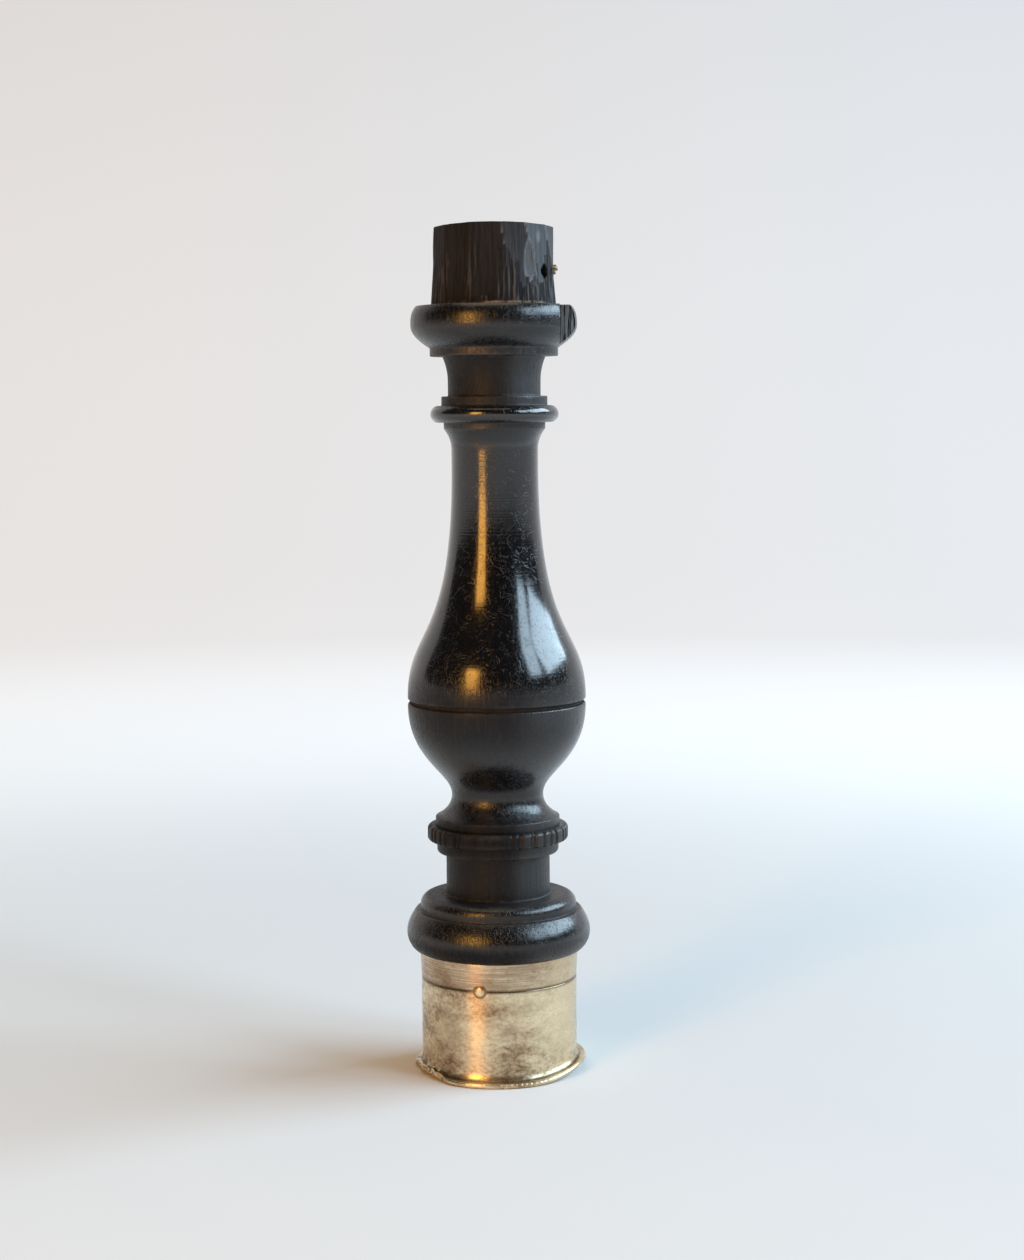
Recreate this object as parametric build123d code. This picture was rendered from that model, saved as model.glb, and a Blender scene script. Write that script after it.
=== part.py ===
from build123d import *
import os

# A desk seal that stands on its die: a turned ebony handle in two halves, joined by a wooden screw at the
# belly, cemented and pinned into a silver ferrule. Millimetres, +Z up, origin at the centre of the die's face.

# Die plate
die_thickness = 0.65
die_edge_round = 0.25
die_projection = 1.15  # of its rim past the ferrule's wall
die_boss_height = 0.8
die_boss_clearance = 0.05
engraving_depth = 0.4
border_inset = 2.05
border_width = 0.5
petal_count = 8
petal_root = 1.8
petal_length = 5.6
petal_width = 2.4
centre_dot_radius = 0.8

# Ferrule
ferrule_radius = 10.2
ferrule_wall = 0.5
ferrule_height = 15.3
lip_projection = 0.45
lip_height = 1.1
lip_pull = 0.3
mouth_swell = 0.18
line_drop = 3.6  # scribed line below the ferrule's mouth
line_width = 0.3
line_depth = 0.12

# Cement between the ferrule, the die plate and the wood
cement_floor = 2.7
cement_film = 0.4
cement_shortfall = 0.5  # its rim below the ferrule's mouth

# Pins through the ferrule, on the scribed line
pin_count = 3
pin_radius = 0.8
pin_bite = 4.0
pin_proud = 0.08
pin_azimuth = -13.8  # of the first one, from the front (-Y) towards +X

# Foot of the lower handle
foot_overhang = 0.2  # past the ferrule's mouth
foot_torus_height = 5.25
foot_torus_swell = 1.45
foot_torus_rise = 2.3  # from its lower edge to its widest line
foot_torus_low_pull = 0.6
foot_torus_side_pull = 1.2
foot_torus_high_pull = 1.35
foot_ledge = 0.62
shoulder_inset = 0.38
shoulder_height = 2.0
shoulder_round = 1.3
foot_neck_height = 5.55
foot_neck_radius = 6.78

# Knurled ring between two fillets
low_fillet_height = 1.6
low_fillet_projection = 1.17
low_fillet_round = 0.4
knurl_height = 2.0
knurl_projection = 1.23
knurl_round = 0.5
knurl_count = 64
knurl_groove_radius = 0.35
knurl_depth = 0.22
high_fillet_height = 1.1

# Cove and belly
cove_radius = 5.97
cove_drop = 2.9  # from its waist down to the fillet
cove_lip = 2.13  # how far the fillet stands out from the waist
cove_lip_pull = 1.15
cove_lip_rise = 0.55
cove_waist_pull = 1.4
belly_rise = 12.05  # from the cove's waist to the joint
belly_inset = 0.43  # of its widest line behind the foot torus's
belly_low_pull = 2.9
belly_high_pull = 7.25
belly_edge_round = 0.25

# Screw joint
washer_thickness = 0.45
washer_setback = 0.45
washer_clearance = 0.3
spigot_radius = 5.6
spigot_chamfer = 0.4
socket_floor = 4.0  # solid wood above the cove's waist
spigot_end_gap = 0.5
thread_lead = 2.0
thread_clearance = 0.15
thread_lead_in = 0.2  # plain spigot at each end of the ridge
thread_run_out = 0.5  # how much lower the groove starts than the ridge
ridge_sink = 0.2  # how deep the ridge is rooted in the spigot
ridge_depth_share = 0.3  # form of the thread, as shares of its lead
ridge_root_share = 0.6
ridge_crest_share = 0.25

# Vase
vase_rise = 30.5
waist_radius = 5.6
vase_belly_pull = 9.5
vase_waist_pull = 23.5
waist_land = 2.0
flare_rise = 2.5
flare_projection = 0.95
vase_fillet_height = 0.8

# Small ring and upper neck
ring_height = 2.15
ring_projection = 1.73
neck_fillet_height = 1.2
neck_fillet_projection = 0.86
cap_neck_radius = 5.98
cap_neck_land = 2.05
cap_flare_rise = 3.05
cap_flare_projection = 0.67

# Cap torus, chipped on one side
cap_fillet_height = 1.05
cap_fillet_projection = 1.6
cap_torus_height = 5.35
cap_torus_projection = 2.45
cap_ovolo_rise = 2.85
cap_ovolo_crossing = 1.5
cap_edge_round = 0.7
cap_edge_drop = 2.2
cap_edge_crossing = 0.7
chip_depth = 2.3  # in from the torus's widest line
chip_back = 2.7  # its back face, in front of the axis

# Whittled tenon that carried a cap
tenon_height = 10.15
tenon_radius = 7.72
tenon_taper = 5.0
tenon_foot_swell = 0.33
peg_hole_radius = 0.6
peg_hole_depth = 3.0
peg_hole_height = 4.1
peg_hole_azimuth = 58.0
stub_radius = 0.45
stub_depth = 4.0
stub_height = 4.5
stub_proud = 0.3
stub_azimuth = 82.0

# Radii that follow
bore_radius = ferrule_radius - ferrule_wall
lip_radius = ferrule_radius + lip_projection
die_radius = ferrule_radius + die_projection
border_radius = die_radius - border_inset
mouth_radius = ferrule_radius + mouth_swell
foot_tenon_radius = bore_radius - cement_film
foot_torus_edge = mouth_radius + foot_overhang
foot_torus_radius = foot_torus_edge + foot_torus_swell
shoulder_radius = foot_torus_edge - shoulder_inset
belly_radius = foot_torus_radius - belly_inset
low_fillet_radius = foot_neck_radius + low_fillet_projection
knurl_radius = low_fillet_radius + knurl_projection
high_fillet_radius = cove_radius + cove_lip
ridge_depth = ridge_depth_share * thread_lead
ridge_radius = spigot_radius + ridge_depth
ridge_half_root = ridge_root_share * thread_lead / 2
ridge_half_crest = ridge_crest_share * thread_lead / 2
flare_radius = waist_radius + flare_projection
ring_radius = flare_radius + ring_projection
neck_fillet_radius = cap_neck_radius + neck_fillet_projection
cap_flare_radius = cap_neck_radius + cap_flare_projection
cap_fillet_radius = cap_flare_radius + cap_fillet_projection
cap_torus_radius = cap_fillet_radius + cap_torus_projection
tenon_foot_radius = tenon_radius + tenon_foot_swell

# Heights that follow, from the die's face up
lip_top = die_thickness + lip_height
ferrule_mouth = die_thickness + ferrule_height
line_level = ferrule_mouth - line_drop
cement_low = die_thickness + die_boss_height
foot_tenon_low = cement_low + cement_floor
foot_torus_widest = ferrule_mouth + foot_torus_rise
foot_torus_top = ferrule_mouth + foot_torus_height
shoulder_top = foot_torus_top + shoulder_height
low_fillet_low = shoulder_top + foot_neck_height
knurl_low = low_fillet_low + low_fillet_height
knurl_top = knurl_low + knurl_height
cove_low = knurl_top + high_fillet_height
cove_waist = cove_low + cove_drop
joint_low = cove_waist + belly_rise
joint_top = joint_low + washer_thickness
socket_low = cove_waist + socket_floor
spigot_low = socket_low + spigot_end_gap
ridge_low = spigot_low + spigot_chamfer + thread_lead_in + ridge_half_root
ridge_top = joint_low - thread_lead_in - ridge_half_root
waist_low = joint_top + vase_rise
waist_top = waist_low + waist_land
flare_top = waist_top + flare_rise
ring_low = flare_top + vase_fillet_height
ring_top = ring_low + ring_height
cap_neck_low = ring_top + neck_fillet_height
cap_neck_top = cap_neck_low + cap_neck_land
cap_fillet_low = cap_neck_top + cap_flare_rise
cap_torus_low = cap_fillet_low + cap_fillet_height
cap_torus_top = cap_torus_low + cap_torus_height
tenon_top = cap_torus_top + tenon_height

UP = (0, 1)
OUT = (1, 0)
BASE = (Align.CENTER, Align.CENTER, Align.MIN)


class Outline:
    """Half outline of a turned piece, drawn from point to point in radius and height."""

    def __init__(self, radius, height):
        self.first = (radius, height)
        self.last = (radius, height)
        self.edges = []

    def add(self, edge, radius, height):
        self.edges.append(edge)
        self.last = (radius, height)

    def line(self, radius, height):
        self.add(Line(self.last, (radius, height)), radius, height)

    def arc(self, through, radius, height):
        self.add(ThreePointArc(self.last, through, (radius, height)), radius, height)

    def bend(self, radius, height, leaving):
        """An arc that leaves the last point along a direction."""
        self.add(TangentArc(self.last, (radius, height), tangent=leaving), radius, height)

    def curve(self, radius, height, *pulls):
        """A Bezier curve past the given control points."""
        self.add(Bezier(self.last, *pulls, (radius, height)), radius, height)

    def upright_curve(self, radius, height, pull, last_pull):
        """An S-curve that leaves and arrives upright."""
        start = (self.last[0], self.last[1] + pull)
        self.curve(radius, height, start, (radius, height - last_pull))

    def solid(self):
        self.line(*self.first)
        return revolve(Plane.XZ * make_face(self.edges), Axis.Z)


def radial_peg(radius, inner, outer, level, azimuth):
    """A round peg that lies along a radius, at an angle from the front."""
    peg = Cylinder(radius, outer - inner, align=BASE)
    return Pos(0, 0, level) * Rot(0, 0, azimuth) * Rot(90, 0, 0) * Pos(0, 0, inner) * peg


def ferrule_pegs(outer):
    """The ring of pegs on the scribed line, out to a radius."""
    inner = foot_tenon_radius - pin_bite
    step = 360 / pin_count
    return [radial_peg(pin_radius, inner, outer, line_level, pin_azimuth + k * step) for k in range(pin_count)]


def thread_ridge(low, high, clearance):
    """A right-hand ridge whose turn depends on height alone, grown all over by a clearance."""
    root = spigot_radius - ridge_sink + clearance
    crest = ridge_radius + clearance - root
    half_root = ridge_half_root + clearance
    half_crest = ridge_half_crest + clearance
    path = Helix(pitch=thread_lead, height=high - low, radius=root)
    corners = [(0, -half_root), (crest, -half_crest), (crest, half_crest), (0, half_root)]
    section = Plane(origin=path @ 0, x_dir=(1, 0, 0), z_dir=path % 0) * Polygon(*corners, align=None)
    ridge = sweep(section, path=path, is_frenet=True)
    return Pos(0, 0, low) * Rot(0, 0, 360 * low / thread_lead) * ridge


def screw_spigot():
    core = Cylinder(spigot_radius, joint_top - spigot_low, align=BASE)
    core = chamfer(core.edges().group_by(Axis.Z)[0], spigot_chamfer)
    return Pos(0, 0, spigot_low) * core + thread_ridge(ridge_low, ridge_top, 0)


def screw_socket():
    """The hollow that takes the spigot, run on past the joint's face."""
    past_joint = joint_low + thread_lead
    core = Cylinder(spigot_radius + thread_clearance, past_joint + thread_lead - socket_low, align=BASE)
    return Pos(0, 0, socket_low) * core + thread_ridge(ridge_low - thread_run_out, past_joint, thread_clearance)


def make_die_plate():
    boss_radius = bore_radius - die_boss_clearance
    outline = Outline(0, 0)
    outline.line(die_radius - die_edge_round, 0)
    outline.bend(die_radius, die_edge_round, OUT)
    outline.line(die_radius, die_thickness - die_edge_round)
    outline.bend(die_radius - die_edge_round, die_thickness, UP)
    outline.line(boss_radius, die_thickness)
    outline.line(boss_radius, cement_low)
    outline.line(0, cement_low)
    return outline.solid() - engraving()


def engraving():
    """A rosette of pointed petals inside a border, cut into the face."""
    tip = petal_root + petal_length
    middle = petal_root + petal_length / 2
    upper_side = ThreePointArc((petal_root, 0), (middle, petal_width / 2), (tip, 0))
    lower_side = ThreePointArc((tip, 0), (middle, -petal_width / 2), (petal_root, 0))
    petal = make_face([upper_side, lower_side])
    border = Circle(border_radius) - Circle(border_radius - border_width)
    figures = [place * petal for place in PolarLocations(0, petal_count)]
    figures += [Circle(centre_dot_radius), border]
    return [extrude(figure, engraving_depth) for figure in figures]


def make_ferrule():
    outline = Outline(bore_radius, die_thickness)
    outline.line(lip_radius, die_thickness)
    outline.curve(ferrule_radius, lip_top, (ferrule_radius, die_thickness + lip_pull))
    outline.line(ferrule_radius, line_level - line_width / 2)
    outline.line(ferrule_radius - line_depth, line_level)
    outline.line(ferrule_radius, line_level + line_width / 2)
    outline.line(mouth_radius, ferrule_mouth)
    outline.line(bore_radius, ferrule_mouth)
    return outline.solid() - ferrule_pegs(lip_radius)


def make_cement_bed():
    rim = ferrule_mouth - cement_shortfall
    outline = Outline(0, cement_low)
    outline.line(bore_radius, cement_low)
    outline.line(bore_radius, rim)
    outline.line(foot_tenon_radius, rim)
    outline.line(foot_tenon_radius, foot_tenon_low)
    outline.line(0, foot_tenon_low)
    return outline.solid() - ferrule_pegs(lip_radius)


def make_lower_handle():
    outline = Outline(0, foot_tenon_low)
    outline.line(foot_tenon_radius, foot_tenon_low)
    outline.line(foot_tenon_radius, ferrule_mouth)
    outline.line(foot_torus_edge, ferrule_mouth)
    low_pull = (foot_torus_edge + foot_torus_low_pull, ferrule_mouth)
    side_pull = (foot_torus_radius, foot_torus_widest - foot_torus_side_pull)
    outline.curve(foot_torus_radius, foot_torus_widest, low_pull, side_pull)
    high_pull = (foot_torus_radius, foot_torus_widest + foot_torus_high_pull)
    outline.curve(shoulder_radius + foot_ledge, foot_torus_top, high_pull)
    outline.line(shoulder_radius, foot_torus_top)
    outline.line(shoulder_radius, shoulder_top - shoulder_round)
    outline.bend(shoulder_radius - shoulder_round, shoulder_top, UP)
    outline.line(foot_neck_radius, shoulder_top)
    outline.line(foot_neck_radius, low_fillet_low)
    outline.line(low_fillet_radius - low_fillet_round, low_fillet_low)
    outline.bend(low_fillet_radius, low_fillet_low + low_fillet_round, OUT)
    outline.line(low_fillet_radius, knurl_low)
    outline.line(knurl_radius - knurl_round, knurl_low)
    outline.bend(knurl_radius, knurl_low + knurl_round, OUT)
    outline.line(knurl_radius, knurl_top - knurl_round)
    outline.bend(knurl_radius - knurl_round, knurl_top, UP)
    outline.line(high_fillet_radius, knurl_top)
    outline.line(high_fillet_radius, cove_low)
    cove_pull = (high_fillet_radius - cove_lip_pull, cove_low + cove_lip_rise)
    waist_pull = (cove_radius, cove_waist - cove_waist_pull)
    outline.curve(cove_radius, cove_waist, cove_pull, waist_pull)
    outline.upright_curve(belly_radius, joint_low - belly_edge_round, belly_low_pull, belly_high_pull)
    outline.bend(belly_radius - belly_edge_round, joint_low, UP)
    outline.line(0, joint_low)
    return outline.solid() - knurl_grooves() - ferrule_pegs(lip_radius) - screw_socket()


def knurl_grooves():
    """Upright round-bottomed grooves about the ring."""
    centre_radius = knurl_radius - knurl_depth + knurl_groove_radius
    groove = Pos(0, 0, knurl_low) * Cylinder(knurl_groove_radius, knurl_height, align=BASE)
    return [place * groove for place in PolarLocations(centre_radius, knurl_count)]


def make_joint_washer():
    ring = Circle(belly_radius - washer_setback) - Circle(ridge_radius + washer_clearance)
    return Pos(0, 0, joint_low) * extrude(ring, washer_thickness)


def make_upper_handle():
    outline = Outline(0, joint_top)
    outline.line(belly_radius - belly_edge_round, joint_top)
    outline.bend(belly_radius, joint_top + belly_edge_round, OUT)
    outline.upright_curve(waist_radius, waist_low, vase_belly_pull, vase_waist_pull)
    outline.line(waist_radius, waist_top)
    outline.bend(flare_radius, flare_top, UP)
    outline.line(flare_radius, ring_low)
    ring_core = ring_radius - ring_height / 2
    outline.line(ring_core, ring_low)
    outline.arc((ring_radius, ring_low + ring_height / 2), ring_core, ring_top)
    outline.line(neck_fillet_radius, ring_top)
    outline.line(neck_fillet_radius, cap_neck_low)
    outline.line(cap_neck_radius, cap_neck_low)
    outline.line(cap_neck_radius, cap_neck_top)
    outline.bend(cap_flare_radius, cap_fillet_low, UP)
    outline.line(cap_fillet_radius, cap_fillet_low)
    outline.line(cap_fillet_radius, cap_torus_low)
    crossing = (cap_torus_radius, cap_torus_low + cap_ovolo_crossing)
    outline.curve(cap_torus_radius, cap_torus_low + cap_ovolo_rise, crossing)
    outline.line(cap_torus_radius, cap_torus_top - cap_edge_drop)
    edge_crossing = (cap_torus_radius, cap_torus_top - cap_edge_crossing)
    outline.curve(cap_torus_radius - cap_edge_round, cap_torus_top, edge_crossing)
    outline.line(tenon_foot_radius, cap_torus_top)
    outline.line(tenon_radius, cap_torus_top + tenon_taper)
    outline.line(tenon_radius, tenon_top)
    outline.line(0, tenon_top)
    peg_level = cap_torus_top + peg_hole_height
    peg_inner = tenon_radius - peg_hole_depth
    peg_hole = radial_peg(peg_hole_radius, peg_inner, cap_torus_radius, peg_level, peg_hole_azimuth)
    return outline.solid() + screw_spigot() - chip() - peg_hole - stub(cap_torus_radius)


def chip():
    """The block of wood that is broken off the cap torus, front right."""
    side = 2 * cap_torus_radius
    block = Box(side, side, cap_torus_height, align=(Align.MIN, Align.MAX, Align.MIN))
    return Pos(cap_torus_radius - chip_depth, -chip_back, cap_torus_low) * block


def stub(outer):
    """The snapped pin in the tenon, out to a radius."""
    return radial_peg(stub_radius, tenon_radius - stub_depth, outer, cap_torus_top + stub_height, stub_azimuth)


pieces = {
    "die_plate": make_die_plate(),
    "ferrule": make_ferrule(),
    "cement_bed": make_cement_bed(),
    "ferrule_pins": Compound(children=ferrule_pegs(ferrule_radius + pin_proud)),
    "lower_handle": make_lower_handle(),
    "joint_washer": make_joint_washer(),
    "upper_handle": make_upper_handle(),
    "broken_pin": stub(tenon_radius + stub_proud),
}

os.makedirs("parts", exist_ok=True)
for name, piece in pieces.items():
    export_step(piece, f"parts/{name}.step")
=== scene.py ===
import math

import bmesh
import bpy
import numpy as np
from mathutils import Matrix, Vector, noise


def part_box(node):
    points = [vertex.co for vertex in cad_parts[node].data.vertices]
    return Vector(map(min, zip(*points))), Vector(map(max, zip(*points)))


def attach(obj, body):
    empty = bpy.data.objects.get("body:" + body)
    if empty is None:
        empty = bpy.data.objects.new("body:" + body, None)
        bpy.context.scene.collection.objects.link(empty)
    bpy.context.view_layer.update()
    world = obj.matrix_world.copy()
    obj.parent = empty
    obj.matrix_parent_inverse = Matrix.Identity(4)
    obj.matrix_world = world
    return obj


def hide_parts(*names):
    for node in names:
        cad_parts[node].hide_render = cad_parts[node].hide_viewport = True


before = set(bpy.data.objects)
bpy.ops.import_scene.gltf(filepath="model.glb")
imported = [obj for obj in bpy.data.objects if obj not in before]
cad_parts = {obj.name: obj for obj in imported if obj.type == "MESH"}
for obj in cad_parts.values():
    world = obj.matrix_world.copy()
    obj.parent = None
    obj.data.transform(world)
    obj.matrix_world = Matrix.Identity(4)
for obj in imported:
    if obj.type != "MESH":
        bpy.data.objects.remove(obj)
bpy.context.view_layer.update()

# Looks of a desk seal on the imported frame. Sizes are in millimetres here and in metres in the meshes.
# Azimuths are in degrees from the front (-Y) towards +X.
MM = 0.001
lowest = {node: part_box(node)[0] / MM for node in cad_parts}
highest = {node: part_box(node)[1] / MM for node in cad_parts}

# Lathe work
segments = 200
ferrule_segments = 300
pin_segments = 40
outline_step = 0.4
fine_step = 0.13
tenon_step = 0.22
hidden_step = 2.0
edge_softness = 0.16
support_gap = 0.04
corner_angle = math.radians(20)
sharp_angle = math.radians(30)
corner_share = 0.4
support_share = 0.45
corner_steps = 4
round_steps = 8
bulge_steps = 32
wear_reach = 0.12
crease_reach = 0.2
grime_reach = 0.6
wood_wobble = 0.02
edge_nicks = 0.12

# Ferrule and the die's rim, which is bent up on the right and battered on the left
die_top = lowest["ferrule"].z
die_radius = highest["die_plate"].x
ferrule_mouth = highest["ferrule"].z
ferrule_radius = 10.2
bore_radius = 9.7
lip_radius = highest["ferrule"].x
lip_top = die_top + 1.1
lip_pull = 0.3
mouth_radius = 10.38
line_level = ferrule_mouth - 3.6
line_width = 0.17
line_depth = 0.07
ferrule_wobble = 0.05
rim_cuts = 5
rim_lift = 1.05
rim_lift_azimuths = (20, 80, 105, 150)
batter_top = 3.8
dent_azimuth = -66.0
dent_spread = 27.0
dent_depth = 0.6
dent_lift = 0.45
dent_raggedness = 0.4

# Pins on the scribed line
pin_count = 3
pin_radius = 0.62
pin_inner = 5.3
pin_outer = ferrule_radius + 0.12
pin_azimuth = -13.8
pin_rim_radius = 0.92
pin_rim_level = ferrule_radius + 0.015
pin_rim_depth = 0.3
pin_dome_pull = 0.85 * pin_radius

# Foot of the lower handle
foot_tenon_radius = 9.3
foot_tenon_low = lowest["lower_handle"].z
foot_torus_edge = 10.58
foot_torus_radius = highest["lower_handle"].x
foot_torus_widest = ferrule_mouth + 2.3
foot_torus_top = ferrule_mouth + 5.25
foot_torus_low_pull = 0.6
foot_torus_side_pull = 1.2
foot_torus_high_pull = 1.35
foot_ledge_radius = 10.82
crack_azimuth = -60.0
crack_width = 0.14
crack_sway = 1.5
crack_low = ferrule_mouth + 0.6
crack_top = foot_torus_widest + 2.0
shoulder_radius = 10.2
shoulder_round = 1.3
shoulder_top = foot_torus_top + 2.0
foot_neck_radius = 6.78
foot_neck_top = shoulder_top + 5.55

# Coin-edged ring between two fillets
low_fillet_radius = 7.95
low_fillet_round = 0.4
ring_low = foot_neck_top + 1.6
ring_top = ring_low + 2.0
ring_radius = 9.18
ring_inner = 7.2
ring_round = 0.5
ring_segments = 704
notch_count = 45
notch_depth = 0.34
notch_width = 0.27
notch_jitter = 0.75
worn_azimuth = -4.0
worn_spread = 36.0
worn_left = 0.15
nick_azimuth = 18.0
nick_width = 2.2
high_fillet_radius = 8.1
cove_low = ring_top + 1.1

# Cove and belly
cove_radius = 5.97
cove_waist = cove_low + 2.9
cove_lip_pull = 1.15
cove_lip_rise = 0.55
cove_waist_pull = 1.4
belly_radius = highest["upper_handle"].x
belly_edge_round = 0.25
belly_low_pull = 2.9
belly_high_pull = 7.25

# Screw joint
joint_low = lowest["joint_washer"].z
joint_top = highest["joint_washer"].z
spigot_radius = 5.6
spigot_low = lowest["upper_handle"].z
spigot_chamfer = 0.4
socket_low = spigot_low - 0.5
thread_lead = 2.0
thread_clearance = 0.15
thread_fade = 0.15
wall_tolerance = 0.02
socket_radius = spigot_radius + thread_clearance
ridge_depth = 0.6
ridge_half_root = 0.6
ridge_half_crest = 0.25
ridge_low = spigot_low + 1.2
ridge_top = joint_low - 0.8
groove_low = ridge_low - 0.5

# Vase, bead and upper neck
waist_radius = 5.6
waist_low = joint_top + 30.5
waist_top = waist_low + 2.0
vase_belly_pull = 9.5
vase_waist_pull = 23.5
flare_radius = 6.55
neck_flare_top = waist_top + 2.5
bead_low = neck_flare_top + 0.8
bead_top = bead_low + 2.15
bead_radius = 8.28
neck_fillet_radius = 6.84
cap_neck_low = bead_top + 1.2
cap_neck_radius = 5.98
cap_neck_top = cap_neck_low + 2.05
cap_flare_radius = 6.65

# Cap torus with its broken side
cap_fillet_low = cap_neck_top + 3.05
cap_fillet_radius = 8.25
cap_torus_low = cap_fillet_low + 1.05
cap_torus_radius = 10.7
cap_torus_top = cap_torus_low + 5.35
cap_ovolo_top = cap_torus_low + 2.85
cap_ovolo_crossing = cap_torus_low + 1.5
cap_edge_round = 0.7
cap_edge_drop = 2.2
cap_edge_crossing = 0.7
chip_side = 8.4
chip_width = 4.0
chip_back = -2.7
chip_roughness = 0.4
chip_side_share = 0.25
tear_cells = (0.24, 0.24, 4.0)
broad_tear_cells = (0.9, 0.9, 5.0)
chip_cuts = (36, 90, 36)

# Whittled tenon, its hole and the snapped pin
tenon_foot_radius = 8.05
tenon_radius = 7.72
tenon_taper_top = cap_torus_top + 5.0
tenon_top = highest["upper_handle"].z
tenon_sag = 0.25
tenon_roughness = 0.06
fibre_depth = 0.03
torn_depth = 0.16
facet_reach = 1.2
facet_unevenness = 0.05
ridge_blur = 0.05
dusty_azimuths = (-30, 10, 50, 75)
hole_azimuth = 58.0
hole_level = cap_torus_top + 4.1
hole_radius = 0.62
hole_height = 0.95
hole_depth = 3.0
stub_azimuth = 82.0
stub_level = cap_torus_top + 4.5
stub_radius = 0.45
stub_inner = 3.72
stub_outer = 8.02
bar_segments = 28
bar_slices = 6
sliver_count = 14
sliver_length = 1.1
sliver_radius = 0.13
sliver_reach = 0.1
sliver_lean = 4.0
sliver_spread_out = 0.5
sliver_spread_up = 1.2
sliver_spread_round = 8.0

# Knife work on the tenon. Flat facets: azimuth, twist in degrees per millimetre up, bite at the top, how
# fast it runs out downwards, and gloss. Hollow cuts: azimuth, level below the top, half length, depth, half
# width in degrees, and gloss. The gloss also paints a pale sheen into the cut's colour, and is highest on
# the cuts that face the daylight panes.
knife_facets = [
    (-156, 1.0, 0.25, 0.035, 0.05), (-126, -1.5, 0.22, 0.03, 0.1), (-96, 1.0, 0.2, 0.035, 0.03),
    (-66, 0.5, 0.22, 0.03, 0.03), (-36, 0.0, 0.3, 0.03, 0.0), (-5, 0.3, 0.36, 0.04, 0.02),
    (31, -2.8, 0.32, 0.04, 0.25), (53, -1.0, 0.34, 0.045, 0.7), (82, -2.0, 0.28, 0.04, 0.5),
    (112, -2.0, 0.24, 0.03, 0.15), (142, 1.0, 0.26, 0.03, 0.1), (174, 0.0, 0.2, 0.03, 0.05),
]
hollow_cuts = [
    (37, 4.6, 2.8, 0.26, 7.5, 1.0), (50, 1.5, 1.6, 0.28, 6.0, 0.7), (-98, 3.3, 2.8, 0.2, 8.0, 0.2),
    (124, 3.1, 2.6, 0.2, 8.0, 0.3), (-164, 3.7, 3.0, 0.2, 9.0, 0.2),
]

# Finish up the wood: level, how much polish is left, how bare the wood is, and how dirty. Hands have rubbed
# one side.
rubbed_azimuths = (5.0, 40.0, 95.0, 140.0)
rubbed_polish = 0.35
bare_wood_gloss = 0.22
upper_finish = [
    (spigot_low, 0.0, 0.6, 0.2), (joint_top, 0.2, 0.7, 0.2), (joint_top + 2.0, 0.6, 0.4, 0.1),
    (joint_top + 5.0, 1.0, 0.0, 0.0), (waist_top, 1.0, 0.0, 0.0), (neck_flare_top, 0.7, 0.0, 0.2),
    (bead_low, 0.4, 0.0, 0.5), (bead_low + 0.3, 0.9, 0.0, 0.0), (bead_top - 0.3, 0.9, 0.0, 0.0),
    (bead_top, 0.2, 0.4, 0.6), (cap_neck_low, 0.0, 0.6, 0.8), (cap_fillet_low, 0.0, 0.6, 0.8),
    (cap_fillet_low + 0.2, 0.3, 0.1, 0.5), (cap_torus_low, 0.5, 0.0, 0.5),
    (cap_torus_low + 0.4, 0.75, 0.0, 0.5),
]
lower_finish = [
    (ferrule_mouth, 0.0, 0.85, 0.1), (foot_torus_widest - 0.7, 0.0, 0.8, 0.1),
    (foot_torus_widest + 0.3, 0.55, 0.1, 0.1), (shoulder_top - 0.3, 0.55, 0.1, 0.2),
    (shoulder_top, 0.0, 0.6, 0.7), (foot_neck_top, 0.0, 0.65, 0.8), (ring_low, 0.1, 0.85, 0.5),
    (cove_low, 0.1, 0.8, 0.4),
    (cove_low + 0.3, 0.45, 0.1, 0.1), (cove_waist, 0.65, 0.1, 0.0), (joint_low - 6.0, 0.65, 0.15, 0.0),
    (joint_low - 3.0, 0.4, 0.55, 0.1), (joint_low, 0.2, 0.7, 0.2),
]


# Turned outlines

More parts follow.
